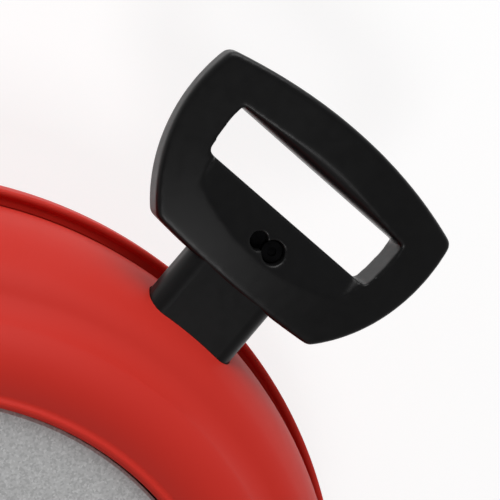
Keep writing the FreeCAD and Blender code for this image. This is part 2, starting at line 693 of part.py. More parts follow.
def make_bracket():
    body = new_body("handle_bracket")
    sketch = sketch_on(body, "YZ_Plane", "bracket_outline", POCKET_FACE)
    rectangle(
        sketch, f"0 - {BRACKET_SIDE}", BRACKET_SIDE,
        f"{HANDLE} - bracket_height / 2", f"{HANDLE} + bracket_height / 2",
    )
    for side in ANCHOR_SIDES:
        circle(sketch, side, HANDLE, "bracket_bolt_radius + screw_gap")
    rectangle(
        sketch, "0 - tang_width / 2", "tang_width / 2",
        f"{HANDLE} - tang_thickness / 2", f"{HANDLE} + tang_thickness / 2",
    )
    plate = pad(body, sketch, "bracket_plate", "bracket_thickness")
    half_width = size_of(BRACKET_SIDE)
    fillet(
        body, "bracket_corners", plate,
        lambda edge: is_along(edge, "x") and abs(abs(middle_of(edge).y) - half_width) < 0.01,
        "bracket_round",
    )
    return body


def middle_of(edge):
    return edge.BoundBox.Center


def is_along(edge, direction):
    """Whether a straight edge runs along one axis."""
    box = edge.BoundBox
    spans = {"x": box.XLength, "y": box.YLength, "z": box.ZLength}
    own = spans.pop(direction)
    return own > 0.5 and max(spans.values()) < 0.001


def make_anchors():
    body = new_body("granite_anchors")
    sketch = sketch_on(body, "YZ_Plane", "anchors_outline", f"{POCKET_FACE} - anchor_length")
    for side in ANCHOR_SIDES:
        circle(sketch, side, HANDLE, "anchor_radius")
        circle(sketch, side, HANDLE, "bracket_bolt_radius")
    pad(body, sketch, "anchors_length", "anchor_length")
    return body


def make_bracket_bolts():
    """Two socket-head bolts pointing into the granite."""
    body = new_body("bracket_bolts")
    face = f"( {POCKET_FACE} + bracket_thickness )"
    shank = sketch_on(body, "YZ_Plane", "bracket_shank_outline", f"{face} - bracket_bolt_length")
    head = sketch_on(body, "YZ_Plane", "bracket_head_outline", face)
    key = sketch_on(body, "YZ_Plane", "bracket_key_outline", f"{face} + bracket_bolt_head_height")
    for side in ANCHOR_SIDES:
        circle(shank, side, HANDLE, "bracket_bolt_radius")
        circle(head, side, HANDLE, "bracket_bolt_head_radius")
        circle(key, side, HANDLE, "bracket_bolt_radius * 0.8")
    pad(body, shank, "bracket_shanks", "bracket_bolt_length")
    pad(body, head, "bracket_heads", "bracket_bolt_head_height")
    pocket(body, key, "bracket_keys", "bracket_bolt_head_height / 2")
    return body


# ---------------------------------------------------------------- grip
FRONT = f"( {HANDLE} + grip_thickness / 2 )"
BACK = f"( {HANDLE} - grip_thickness / 2 )"
KEYHOLE_LARGE_Y = "( 0 - keyhole_pitch / 2 )"


def crown_cut(body, name, face, crown, half_span, outwards):
    """Crown one face of the grip across its width: an arc that falls away to both sides."""
    inwards = "-" if outwards == "+" else "+"
    fall = f"( {crown} - sqrt( {crown} ^ 2 - {half_span} ^ 2 ) )"
    arch = sketch_on(body, "YZ_Plane", f"{name}_outline", GRIP_START)
    outline(arch, [
        (f"0 - {half_span}", f"{face} {inwards} {fall}", ("0", face)),
        (half_span, f"{face} {inwards} {fall}"),
        (half_span, f"{face} {outwards} wall"),
        (f"0 - {half_span}", f"{face} {outwards} wall"),
    ])
    pocket(body, arch, name, "rim_radius * 2", symmetric=True)


def make_grip_blank():
    """The moulded D-grip before its scoop: crowned on both faces, with a finger slot and keyhole."""
    body = new_body("grip_blank")
    corner_x = f"( {GRIP_START} + grip_bottom_bow )"
    top_x = f"( {GRIP_START} + grip_length )"
    low_y = "( grip_bottom_width / 2 )"
    top_y = "( grip_top_width / 2 )"
    run = f"( {top_x} - {corner_x} )"
    rise = f"( {top_y} - {low_y} )"
    side = f"sqrt( {run} ^ 2 + {rise} ^ 2 )"
    mid_x = f"( ( {top_x} + {corner_x} ) / 2 - grip_side_bow * {rise} / {side} )"
    mid_y = f"( ( {top_y} + {low_y} ) / 2 + grip_side_bow * {run} / {side} )"
    shape = sketch_on(body, "XY_Plane", "grip_outline", BACK)
    outline(shape, [
        (corner_x, f"0 - {low_y}", (mid_x, f"0 - {mid_y}")),
        (top_x, f"0 - {top_y}", (f"{top_x} + grip_top_bow", "0")),
        (top_x, top_y, (mid_x, mid_y)),
        (corner_x, low_y, (GRIP_START, "0")),
    ])
    blank = pad(body, shape, "grip_plate", "grip_thickness")
    fillet(body, "grip_corners", blank, lambda edge: is_along(edge, "z"), "grip_corner")
    half_span = f"( {top_y} + grip_side_bow )"
    crown_cut(body, "front_crown_cut", FRONT, "front_crown", half_span, "+")
    crown_cut(body, "back_crown_cut", BACK, "back_crown", half_span, "-")
    middle = size_of(HANDLE)
    fillet(
        body, "grip_front_edges", body.Tip,
        lambda edge: not is_along(edge, "z") and middle_of(edge).z > middle, "grip_front_edge",
    )
    fillet(
        body, "grip_back_edges", body.Tip,
        lambda edge: not is_along(edge, "z") and edge.BoundBox.ZMax < middle, "grip_back_edge",
    )
    cut_finger_slot(body)
    cut_keyhole(body)
    tang_hole(body, "grip_tang_hole", f"{GRIP_START} - grip_bottom_bow", f"{TANG_END} + tang_gap")
    socket = sketch_on(body, "YZ_Plane", "neck_socket_outline", f"{GRIP_START} - wall")
    neck_outline(socket, "socket_gap")
    pocket(body, socket, "neck_socket_recess", "neck_socket + wall", reverse=True)
    return body


def cut_finger_slot(body):
    """The slot for the fingers. The bar beyond it is rounded on both faces."""
    near_y = "( slot_near_width / 2 )"
    far_y = "( slot_far_width / 2 )"
    end_x = f"( {SLOT_START} + {SLOT_END} ) / 2"
    end_y = f"( ( {near_y} + {far_y} ) / 2 + slot_bow )"
    slot = sketch_on(body, "XY_Plane", "slot_outline", FRONT)
    outline(slot, [
        (SLOT_START, f"0 - {near_y}", (end_x, f"0 - {end_y}")),
        (SLOT_END, f"0 - {far_y}"),
        (SLOT_END, far_y, (end_x, end_y)),
        (SLOT_START, near_y),
    ])
    opening = pocket(body, slot, "finger_slot", "grip_thickness")
    margin = size_of("slot_corner") / 2
    low_x = size_of(SLOT_START) - margin
    high_x = size_of(SLOT_END) + margin
    half_y = size_of(end_y) + margin

    def in_slot(edge):
        box = edge.BoundBox
        return low_x < box.XMin and box.XMax < high_x and max(box.YMax, -box.YMin) < half_y

    fillet(
        body, "slot_corners", opening, lambda edge: in_slot(edge) and is_along(edge, "z"), "slot_corner"
    )
    for name, face, inwards, outwards in (("front", FRONT, "-", "+"), ("back", BACK, "+", "-")):
        bend = "bar_round * 0.292893"
        nose = sketch_on(body, "XZ_Plane", f"bar_{name}_outline")
        outline(nose, [
            (SLOT_END, f"{face} {inwards} bar_round",
             (f"{SLOT_END} + {bend}", f"{face} {inwards} {bend}")),
            (f"{SLOT_END} + bar_round", face),
            (f"{SLOT_END} + bar_round", f"{face} {outwards} wall"),
            (f"{SLOT_END} - slot_corner", f"{face} {outwards} wall"),
            (f"{SLOT_END} - slot_corner", f"{face} {inwards} bar_round"),
        ])
        pocket(body, nose, f"bar_{name}_round", "slot_far_width", symmetric=True)


def cut_keyhole(body):
    """Two lobes that run together: the screw's counterbore and the keyway beside it."""
    squares = "( keyhole_pitch ^ 2 + keyhole_large ^ 2 - keyhole_small ^ 2 )"
    waist_y = f"( {squares} / ( 2 * keyhole_pitch ) )"
    waist = f"sqrt( keyhole_large ^ 2 - {waist_y} ^ 2 )"
    lobes = sketch_on(body, "XY_Plane", "keyhole_outline", FRONT)
    outline(lobes, [
        (f"{KEYHOLE} - {waist}", f"{waist_y} - keyhole_pitch / 2",
         (KEYHOLE, "0 - keyhole_pitch / 2 - keyhole_large")),
        (f"{KEYHOLE} + {waist}", f"{waist_y} - keyhole_pitch / 2",
         (KEYHOLE, "keyhole_pitch / 2 + keyhole_small")),
    ])
    pocket(body, lobes, "keyhole", "grip_thickness / 2 - tang_thickness / 2 - tang_gap")
    insert = sketch_on(body, "XY_Plane", "insert_hole_outline", HANDLE)
    circle(insert, KEYHOLE, KEYHOLE_LARGE_Y, "insert_radius")
    pocket(body, insert, "insert_hole", "tang_thickness / 2 + tang_gap + insert_length")


def make_scoop():
    """The space over the sloping floor in front of the slot."""
    body = new_body("scoop_space")
    end_x = f"( {SLOT_START} + slot_corner )"
    drop = f"( ( {end_x} - {SCOOP_START} ) * tan( scoop_slope * pi / 180 * 1 rad ) )"
    section = sketch_on(body, "XZ_Plane", "scoop_section")
    outline(section, [
        (SCOOP_START, FRONT),
        (end_x, f"{FRONT} - {drop}"),
        (end_x, f"{FRONT} + wall"),
        (SCOOP_START, f"{FRONT} + wall"),
    ])
    wedge = pad(body, section, "scoop_wedge", "slot_near_width - 2 * scoop_inset", symmetric=True)
    fillet(body, "scoop_ends", wedge, is_sloping, "scoop_round")
    return body


def is_sloping(edge):
    """Whether an edge lies in the scoop's floor and runs down it."""
    box = edge.BoundBox
    return min(box.XLength, box.ZLength) > 1 and box.YLength < 0.001


def make_grip():
    return cut("grip", make_grip_blank(), make_scoop())


def make_grip_screw():
    body = new_body("grip_screw")
    seat = f"( {HANDLE} + tang_thickness / 2 )"
    head = sketch_on(body, "XY_Plane", "grip_screw_head_outline", seat)
    circle(head, KEYHOLE, KEYHOLE_LARGE_Y, "grip_screw_head_radius")
    pad(body, head, "grip_screw_head", "grip_screw_head_height")
    shank = sketch_on(body, "XY_Plane", "grip_screw_shank_outline", seat)
    circle(shank, KEYHOLE, KEYHOLE_LARGE_Y, "grip_screw_radius")
    pad(body, shank, "grip_screw_shank", "tang_thickness + tang_gap + insert_length", reverse=True)
    drive = sketch_on(body, "XY_Plane", "grip_screw_drive_outline", f"{seat} + grip_screw_head_height")
    circle(drive, KEYHOLE, KEYHOLE_LARGE_Y, "grip_screw_radius * 0.7")
    pocket(body, drive, "grip_screw_drive", "grip_screw_head_height / 2")
    return body


def make_grip_insert():
    body = new_body("grip_insert")
    sketch = sketch_on(
        body, "XY_Plane", "grip_insert_outline", f"{HANDLE} - tang_thickness / 2 - tang_gap"
    )
    circle(sketch, KEYHOLE, KEYHOLE_LARGE_Y, "insert_radius")
    circle(sketch, KEYHOLE, KEYHOLE_LARGE_Y, "grip_screw_radius")
    pad(body, sketch, "grip_insert_length", "insert_length", reverse=True)
    return body


# ---------------------------------------------------------------- the whole stone
pieces = [
    make_top_shell(),
    make_lower_shell(),
    make_screw_group("shell_screws"),
    tube("rim_gasket", f"{SKIRT} - gasket_width", SKIRT, LEDGE, SEAT),
    make_running_ring(),
    make_granite_core(),
    tube("upper_pad", f"{HUB} - wall / 2", f"{HUB} - wall / 2 + pad_width",
         CORE_TOP, HUB_BOTTOM),
    tube("lower_pad", f"{FLOOR_STEP} + lower_pad_gap",
         f"{CORE_FOOT} - pad_thickness", "base_height + wall", LOWER_PAD_TOP),
    tube("centre_pad", "bolt_radius + bolt_gap + sleeve_wall", "ring_radius", FLOOR_TOP,
         CENTRE_PAD_TOP),
    make_centre_bolt(),
    tube("bolt_sleeve", "bolt_radius + bolt_gap", "bolt_radius + bolt_gap + sleeve_wall",
         CENTRE_PAD_TOP, NUT_FLOOR),
    tube("bottom_washer", "bolt_radius + glue_gap", "washer_radius",
         f"{CUP_TOP} - washer_thickness", CUP_TOP),
    tube("top_washer", "bolt_radius + glue_gap", "washer_radius", NUT_FLOOR,
         f"{NUT_FLOOR} + washer_thickness"),
    make_top_nut(),
    make_centre_cap(),
    make_bracket(),
    make_anchors(),
    make_bracket_bolts(),
    make_tang(),
    make_neck(),
    make_neck_pins(),
    make_grip(),
    make_grip_screw(),
    make_grip_insert(),
]

doc.recompute()
for item in doc.Objects:
    if "Invalid" in item.State or "Error" in item.State:
        raise RuntimeError(f"{item.Name} did not compute: {item.State}")
for piece in pieces:
    if piece.Shape.isNull() or not piece.Shape.isValid() or piece.Shape.Volume <= 0:
        raise RuntimeError(f"{piece.Label} is not a sound solid")

os.makedirs("parts", exist_ok=True)
for piece in pieces:
    piece.Shape.exportStep(f"parts/{piece.Label}.step")
    print(f"{piece.Label}: {len(piece.Shape.Solids)} solid(s), {piece.Shape.Volume / 1000:.2f} cm3")
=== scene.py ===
import json
import math

import bpy
from mathutils import Matrix, Vector


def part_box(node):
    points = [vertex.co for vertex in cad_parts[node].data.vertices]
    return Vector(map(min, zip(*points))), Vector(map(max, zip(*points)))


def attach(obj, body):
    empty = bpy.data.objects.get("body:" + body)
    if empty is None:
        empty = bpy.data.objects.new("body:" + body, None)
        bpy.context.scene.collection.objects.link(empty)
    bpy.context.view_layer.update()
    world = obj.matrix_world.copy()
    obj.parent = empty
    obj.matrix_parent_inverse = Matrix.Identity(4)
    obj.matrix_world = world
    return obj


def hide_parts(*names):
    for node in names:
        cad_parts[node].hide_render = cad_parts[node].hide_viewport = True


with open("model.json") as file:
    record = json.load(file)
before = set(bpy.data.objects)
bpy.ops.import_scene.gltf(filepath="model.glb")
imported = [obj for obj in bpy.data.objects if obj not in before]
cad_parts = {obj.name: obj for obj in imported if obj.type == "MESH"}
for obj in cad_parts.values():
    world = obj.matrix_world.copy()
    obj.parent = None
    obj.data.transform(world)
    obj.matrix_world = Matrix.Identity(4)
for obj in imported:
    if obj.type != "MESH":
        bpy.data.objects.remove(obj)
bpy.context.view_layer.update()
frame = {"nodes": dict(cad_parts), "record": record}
MM = 0.001

# ---------------------------------------------------------------- sizes in millimetres
TOP_LOW, TOP_HIGH = (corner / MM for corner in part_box("top_shell"))
BASE_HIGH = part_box("lower_shell")[1] / MM
NECK_LOW, NECK_HIGH = (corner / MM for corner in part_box("neck"))

RIM = BASE_HIGH.x
SKIRT = TOP_HIGH.x
LIP_WIDTH = 2.4
LIP_RISE = 1.2
LIP_BAND = 5.0
RIM_HEIGHT = BASE_HIGH.z - LIP_RISE
SEAT = TOP_LOW.z
LEDGE = SEAT - 1.0
LIP_EASE = 0.5
LIP_BEND = 0.7
BAND_EDGE = 0.6
GROOVE_EDGE = 0.15
GROOVE_FOOT = 0.05
FLANK_DROP = 3.2
FLANK_RISE = 28.0
CREASE = RIM - 28.5
CREASE_TOP = RIM_HEIGHT + 54.0
BEAD_WIDTH = 2.6
BEAD_HEIGHT = 2.2
BEAD_SHOWN = 1.4
BEAD_BORE = CREASE - 21.8
SHOULDER_TOP = TOP_HIGH.z - BEAD_HEIGHT
SHOULDER_BULGE = 3.0
CREASE_DIP = 1.6
CREASE_EASE = 0.8
FLANK_BEND = 5.0
BEAD_EASE = 1.3
WALL = 4.0
WALL_SKEW = 0.7
HUB_DEPTH = 5.0
HUB_BOTTOM = CREASE_TOP - HUB_DEPTH
BASE = 5.0
BELLY = RIM - 43.5
BELLY_BULGE = 12.0
RING_SLOT = (57.3, 64.7)
RING_SEAT = 9.3
HOLLOW = (48.0, 53.0)
HOLLOW_TOP = 12.0
FLOOR_STEP = 70.0
BOLT_HOLE = 5.4
LEDGE_WIDTH = 4.5
BOSS_CIRCLE = RIM - 13.0
BOSS_RADIUS = 5.0
SCREW_COUNT = 8
SCREW_SINK = 3.8
SCREW_HOLE = 2.3
SCREW_SEAT = SEAT - 12.0
WINDOW_GAP = 0.3
SEAM = 0.2
NECK_ROUND = 5.4
FINE_EDGE = 0.3
RING_EDGE = 0.4
EDGE = 1.0
HOLLOW_EDGE = 1.2
BEND = 2.0
INNER_BEND = 3.0
BASE_BEND = 4.0
TURNS = 288
SHARP_ANGLE = 38
LEAN = 1.3
LEAN_REACH = 24.0
LEAN_POWER = 1.5
GRIP_VOXEL = 0.45
GRIP_PASSES = 16

# ---------------------------------------------------------------- view and light
VIEW_AZIMUTH = math.radians(178.16)
VIEW_ELEVATION = math.radians(70.25)
VIEW_ROLL = math.radians(128.68)
VIEW_TARGET = Vector((165.02, -1.42, 74.0)) * MM
VIEW_DISTANCE = 0.8
SENSOR_WIDTH = 36.0
LENS = 36.0 * 2715.0 / 500.0
LIT_POINT = (0.05, 0.0, 0.06)
SKY_LOW = 0.1
SKY_HIGH = 0.95
FLOOR_SIZE = 12.0
FLOOR_GREY = (0.8, 0.8, 0.8, 1.0)
FLOOR_SHOWN = (0.32, 0.32, 0.32, 1.0)
FLOOR_GLOW = 0.74
WHITE = (1, 1, 1, 1)


# ---------------------------------------------------------------- materials
class Paint:
    """A small helper round one node-based material."""

    def __init__(self, name):
        self.material = bpy.data.materials.new(name)
        self.material.use_nodes = True
        self.tree = self.material.node_tree
        self.tree.nodes.clear()
        self.shader = self.add("ShaderNodeBsdfPrincipled")
        output = self.add("ShaderNodeOutputMaterial")
        self.join(self.shader, "BSDF", output, "Surface")
        self.place = self.add("ShaderNodeTexCoord")

    def add(self, kind, **settings):
        node = self.tree.nodes.new(kind)
        for key, value in settings.items():
            setattr(node, key, value)
        return node

    def join(self, source, output, target, socket):
        self.tree.links.new(source.outputs[output], target.inputs[socket])

    def set(self, **sockets):
        for name, value in sockets.items():
            self.shader.inputs[name.replace("_", " ")].default_value = value

    def noise(self, scale, detail=2.0, roughness=0.5):
        node = self.add("ShaderNodeTexNoise")
        node.inputs["Scale"].default_value = scale
        node.inputs["Detail"].default_value = detail
        node.inputs["Roughness"].default_value = roughness
        self.join(self.place, "Object", node, "Vector")
        return node

    def spread(self, source, output, low, high, to_low, to_high):
        node = self.add("ShaderNodeMapRange")
        node.inputs["From Min"].default_value = low
        node.inputs["From Max"].default_value = high
        node.inputs["To Min"].default_value = to_low
        node.inputs["To Max"].default_value = to_high
        self.join(source, output, node, "Value")
        return node

    def ramp(self, source, output, stops):
        node = self.add("ShaderNodeValToRGB")
        ramp = node.color_ramp
        while len(ramp.elements) < len(stops):
            ramp.elements.new(0.5)
        for element, (position, colour) in zip(ramp.elements, stops):
            element.position = position
            element.color = (*colour, 1.0)
        self.join(source, output, node, "Fac")
        return node

    def bump(self, source, output, distance, strength=1.0):
        node = self.add("ShaderNodeBump")
        node.inputs["Distance"].default_value = distance
        node.inputs["Strength"].default_value = strength
        self.join(source, output, node, "Height")
        self.join(node, "Normal", self.shader, "Normal")


def red_plastic():
    """Smooth moulded red with a soft gloss, a faint flow mottling and orange peel."""
    paint = Paint("red_plastic")
    mottle = paint.noise(14.0, 1.0)
    deep, light = (0.485, 0.026, 0.018), (0.505, 0.028, 0.019)
    colour = paint.ramp(mottle, "Fac", [(0.25, deep), (0.75, light)])
    paint.join(colour, "Color", paint.shader, "Base Color")
    rough = paint.spread(paint.noise(220.0, 1.0), "Fac", 0.2, 0.8, 0.46, 0.50)
    paint.join(rough, "Result", paint.shader, "Roughness")
    paint.bump(paint.noise(700.0, 1.0), "Fac", 0.00001, 0.2)
    paint.set(IOR=1.5, Specular_IOR_Level=0.07)
    return paint.material


def black_nylon():
    """Black glass-filled nylon with a fine spark-eroded grain."""
    paint = Paint("black_nylon")
    cloud = paint.noise(60.0, 2.0)
    deep, light = (0.0040, 0.0040, 0.0042), (0.0050, 0.0050, 0.0052)
    colour = paint.ramp(cloud, "Fac", [(0.3, deep), (0.7, light)])
    paint.join(colour, "Color", paint.shader, "Base Color")
    rough = paint.spread(paint.noise(300.0, 2.0), "Fac", 0.3, 0.7, 0.32, 0.38)
    paint.join(rough, "Result", paint.shader, "Roughness")
    paint.bump(paint.noise(2600.0, 2.0), "Fac", 0.00003, 0.4)
    paint.set(IOR=1.5, Specular_IOR_Level=0.22)
    return paint.material


def granite(name, dark, middle, pale):
    """Honed granite: fine crystals of three tones with tiny pits."""
    paint = Paint(name)
    crystals = paint.add("ShaderNodeTexVoronoi")
    crystals.inputs["Scale"].default_value = 1700.0
    paint.join(paint.place, "Object", crystals, "Vector")
    grey = paint.add("ShaderNodeSeparateColor")
    paint.join(crystals, "Color", grey, "Color")
    tones = [(0.0, dark), (0.2, dark), (0.4, middle), (0.75, middle), (0.95, pale)]
    colour = paint.ramp(grey, "Red", tones)
    paint.join(colour, "Color", paint.shader, "Base Color")
    rough = paint.spread(grey, "Green", 0.0, 1.0, 0.45, 0.65)
    paint.join(rough, "Result", paint.shader, "Roughness")
    paint.bump(paint.noise(1800.0, 3.0), "Fac", 0.00003, 0.3)
    paint.set(Specular_IOR_Level=0.3)
    return paint.material


def rubber():
    """Matt moulded rubber."""
    paint = Paint("rubber")
    deep, light = (0.012, 0.012, 0.012), (0.02, 0.02, 0.02)
    colour = paint.ramp(paint.noise(120.0), "Fac", [(0.3, deep), (0.7, light)])
    paint.join(colour, "Color", paint.shader, "Base Color")
    paint.bump(paint.noise(1500.0), "Fac", 0.00005, 0.4)
    paint.set(Roughness=0.8)
    return paint.material


def metal(name, colour, roughness):
    """Machined metal with fine turning marks."""
    paint = Paint(name)
    tone = paint.ramp(paint.noise(90.0), "Fac", [(0.3, [c * 0.85 for c in colour]), (0.7, colour)])
    paint.join(tone, "Color", paint.shader, "Base Color")
    rough = paint.spread(paint.noise(400.0), "Fac", 0.3, 0.7, roughness * 0.8, roughness * 1.2)
    paint.join(rough, "Result", paint.shader, "Roughness")
    paint.bump(paint.noise(1200.0), "Fac", 0.00002, 0.3)
    paint.set(Metallic=1.0)
    return paint.material


def natural_nylon():
    """Undyed nylon of the bolt's sleeve."""
    paint = Paint("natural_nylon")
    deep, light = (0.6, 0.58, 0.52), (0.68, 0.66, 0.6)
    colour = paint.ramp(paint.noise(60.0), "Fac", [(0.3, deep), (0.7, light)])
    paint.join(colour, "Color", paint.shader, "Base Color")
    paint.set(Roughness=0.5)
    return paint.material


FINISH = {
    "red_shell": red_plastic(),
    "handle_plastic": black_nylon(),
    "granite": granite(
        "grey_granite", (0.40, 0.40, 0.40), (0.48, 0.48, 0.48), (0.56, 0.56, 0.56)
    ),
    "ring_granite": granite(
        "ring_granite", (0.07, 0.075, 0.08), (0.13, 0.14, 0.15), (0.24, 0.25, 0.26)
    ),
    "rubber": rubber(),
    "steel": metal("stainless", (0.62, 0.62, 0.63), 0.3),
    "brass": metal("brass", (0.75, 0.55, 0.25), 0.3),
    "sleeve_plastic": natural_nylon(),
}
FINISH["cap_plastic"] = FINISH["handle_plastic"]
BLACK_OXIDE = metal("black_oxide_steel", (0.006, 0.006, 0.0065), 0.6)
BLACKENED = ("tang", "grip_screw")

NODE_SLOT = {row["node"]: row["material_slot"] for row in frame["record"]["subparts"]}
for node, obj in frame["nodes"].items():
    obj.data.materials.clear()
    obj.data.materials.append(BLACK_OXIDE if node in BLACKENED else FINISH[NODE_SLOT[node]])


# ---------------------------------------------------------------- profiles
def straight(start, end):
    return [Vector(start), Vector(end)]


def arc(start, through, end, steps=24):
    """Points on the circular arc from start to end by way of a third point."""
    a, b, c = Vector(start), Vector(through), Vector(end)
    ab, ac = b - a, c - a
    twice = 2.0 * (ab.x * ac.y - ab.y * ac.x)
    centre = a + Vector((
        (ac.y * ab.length_squared - ab.y * ac.length_squared) / twice,
        (ab.x * ac.length_squared - ac.x * ab.length_squared) / twice,
    ))
    radius = (a - centre).length
    first = math.atan2(a.y - centre.y, a.x - centre.x)
    last = math.atan2(c.y - centre.y, c.x - centre.x)
    turn = (last - first) % math.tau if twice > 0 else -((first - last) % math.tau)
    angles = [first + turn * step / steps for step in range(steps + 1)]
    return [centre + radius * Vector((math.cos(angle), math.sin(angle))) for angle in angles]


def shortened(run, reach):
    """The run without the first stretch of that length."""
    left = reach
    for index in range(len(run) - 1):
        step = (run[index + 1] - run[index]).length
        if step > left:
            start = run[index].lerp(run[index + 1], left / step)
            return [start] + run[index + 1:]
        left -= step
    return run[-1:]


def softened(runs, steps=8):
    """A closed profile of (run, reach) pairs, each run's end corner bent over its reach."""
    points = []
    for index, (run, reach) in enumerate(runs):
        before = runs[index - 1][1]
        following = runs[(index + 1) % len(runs)][0]
        trimmed = shortened(run, before)[::-1]
        trimmed = shortened(trimmed, reach)[::-1]
        points += trimmed
        if reach:
            corner = run[-1]
            landing = shortened(following, reach)[0]
            for step in range(1, steps):
                t = step / steps
                points.append(trimmed[-1].lerp(corner, t).lerp(corner.lerp(landing, t), t))
    clean = [points[0]]
    for point in points[1:]:
        if (point - clean[-1]).length > 0.01:
            clean.append(point)
    if (clean[0] - clean[-1]).length < 0.01:
        clean.pop()
    return clean


# ---------------------------------------------------------------- pieces
def new_piece(name, points, faces):
    mesh = bpy.data.meshes.new(name)
    mesh.from_pydata([Vector(point) * MM for point in points], [], faces)
    mesh.validate()
    piece = bpy.data.objects.new(name, mesh)
    bpy.context.collection.objects.link(piece)
    return piece


def turned(name, profile):
    """A closed ring turned round the stone's axis from a profile of (radius, height)."""
    points = []
    for turn in range(TURNS):
        angle = math.tau * turn / TURNS
        points += [(p.x * math.cos(angle), p.x * math.sin(angle), p.y) for p in profile]
    count = len(profile)
    faces = []
    for turn in range(TURNS):
        here, there = turn * count, (turn + 1) % TURNS * count
        for index in range(count):
            after = (index + 1) % count
            faces.append((here + index, there + index, there + after, here + after))
    return new_piece(name, points, faces)


def prism(name, section, low, high):
    """A bar of that section, given as full points at one end, moved from low to high."""
    count = len(section)
    points = [point + low for point in section] + [point + high for point in section]
    faces = [tuple(reversed(range(count))), tuple(range(count, 2 * count))]
    for index in range(count):
        after = (index + 1) % count
        faces.append((index, after, after + count, index + count))
    return new_piece(name, points, faces)


def posts(name, radius, low, high, steps=40):
    """A round post at every rim screw, the first of them half a step round from the grip."""
    rods = []
    for index in range(SCREW_COUNT):
        place = math.tau * (index + 0.5) / SCREW_COUNT
        centre = Vector((math.cos(place), math.sin(place), 0)) * BOSS_CIRCLE
        section = []
        for step in range(steps):
            angle = math.tau * step / steps
            section.append(centre + radius * Vector((math.cos(angle), math.sin(angle), 0)))
        rods.append(prism(f"{name}_{index}", section, Vector((0, 0, low)), Vector((0, 0, high))))
    return rods


def cut_out(piece, tools):
    """Cut the tools out of the piece and remove them."""
    for tool in tools:
        change = piece.modifiers.new(tool.name, "BOOLEAN")
        change.object = tool
        change.operation = "DIFFERENCE"
        change.solver = "EXACT"
    settle(piece)
    for tool in tools:
        bpy.data.objects.remove(tool)


def settle(piece):
    """Apply every modifier of the piece."""
    ready = piece.evaluated_get(bpy.context.evaluated_depsgraph_get())
    mesh = bpy.data.meshes.new_from_object(ready)
    piece.modifiers.clear()
    old = piece.data
    piece.data = mesh
    bpy.data.meshes.remove(old)


def shade(piece):
    """Smooth shading with every sharper corner kept."""
    piece.data.shade_smooth()
    piece.data.set_sharp_from_angle(angle=math.radians(SHARP_ANGLE))


def stand_in(piece, node):
    """The piece stands for a CAD node, with that node's finish."""
    slot = NODE_SLOT[node]
    piece.data.materials.clear()
    piece.data.materials.append(FINISH[slot])
    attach(piece, "root")
    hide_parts(node)


def neck_window():
    """The neck's rounded section, a little larger, from inside the shell to beyond the rim."""
    half_width = NECK_HIGH.y + WINDOW_GAP
    half_height = (NECK_HIGH.z - NECK_LOW.z) / 2 + WINDOW_GAP
    middle = (NECK_HIGH.z + NECK_LOW.z) / 2
    bend = NECK_ROUND + WINDOW_GAP
    section = []
    for quarter, (side, rise) in enumerate(((1, 1), (-1, 1), (-1, -1), (1, -1))):
        centre = Vector((0, side * (half_width - bend), middle + rise * (half_height - bend)))
        for step in range(9):
            angle = math.radians(90.0 * (quarter + step / 8))
            section.append(centre + bend * Vector((0, math.cos(angle), math.sin(angle))))
    return prism("neck_window", section, Vector((NECK_LOW.x, 0, 0)), Vector((RIM, 0, 0)))


def make_top_skin():
    """The upper shell: its flank dips a little under the crease, and its edges are soft."""
    hub = BEAD_BORE + WALL
    shoulder_end = BEAD_BORE + BEAD_WIDTH
    crown_radius = (CREASE + shoulder_end) / 2
    crown = (CREASE_TOP + SHOULDER_TOP) / 2 + SHOULDER_BULGE
    crease = (CREASE, CREASE_TOP)
    bead_foot = (shoulder_end, SHOULDER_TOP)
    bead_end = (BEAD_BORE, SHOULDER_TOP)
    inner_crease = (CREASE - WALL, CREASE_TOP - WALL)
    under_shoulder = (hub, SHOULDER_TOP - WALL)
    flank = arc((SKIRT, RIM_HEIGHT), (SKIRT - FLANK_DROP, RIM_HEIGHT + FLANK_RISE), crease, 40)
    bend = len(flank) * 3 // 4
    halfway = (flank[bend] + flank[-1]) / 2
    dip = (flank[bend] - flank[-1]).orthogonal().normalized() * CREASE_DIP
    upper_flank = arc(flank[bend], halfway - dip, crease, 16)
    inner_halfway = (SKIRT - FLANK_DROP - WALL, RIM_HEIGHT + FLANK_RISE - WALL / 5)
    inner_flank = arc(inner_crease, inner_halfway, (SKIRT - WALL, RIM_HEIGHT), 12)
    bead_top = (BEAD_BORE + BEAD_WIDTH / 2, SHOULDER_TOP + BEAD_SHOWN)
    profile = softened([
        (straight((SKIRT, SEAT), (SKIRT, RIM_HEIGHT)), EDGE),
        (flank[:bend + 1], FLANK_BEND),
        (upper_flank, CREASE_EASE),
        (arc(crease, (crown_radius, crown), bead_foot, 40), BEAD_EASE),
        (arc(bead_foot, bead_top, bead_end, 20), FINE_EDGE),
        (straight((BEAD_BORE, SHOULDER_TOP), (BEAD_BORE, HUB_BOTTOM)), FINE_EDGE),
        (straight((BEAD_BORE, HUB_BOTTOM), (hub, HUB_BOTTOM)), FINE_EDGE),
        (straight((hub, HUB_BOTTOM), under_shoulder), EDGE),
        (arc(under_shoulder, (crown_radius, crown - WALL), inner_crease, 12), INNER_BEND),
        (inner_flank, EDGE),
        (straight((SKIRT - WALL, RIM_HEIGHT), (SKIRT - WALL, SEAT)), FINE_EDGE),
        (straight((SKIRT - WALL, SEAT), (SKIRT, SEAT)), FINE_EDGE),
    ])
    skin = turned("top_shell_skin", profile)
    cut_out(skin, [neck_window()])
    shade(skin)
    stand_in(skin, "top_shell")


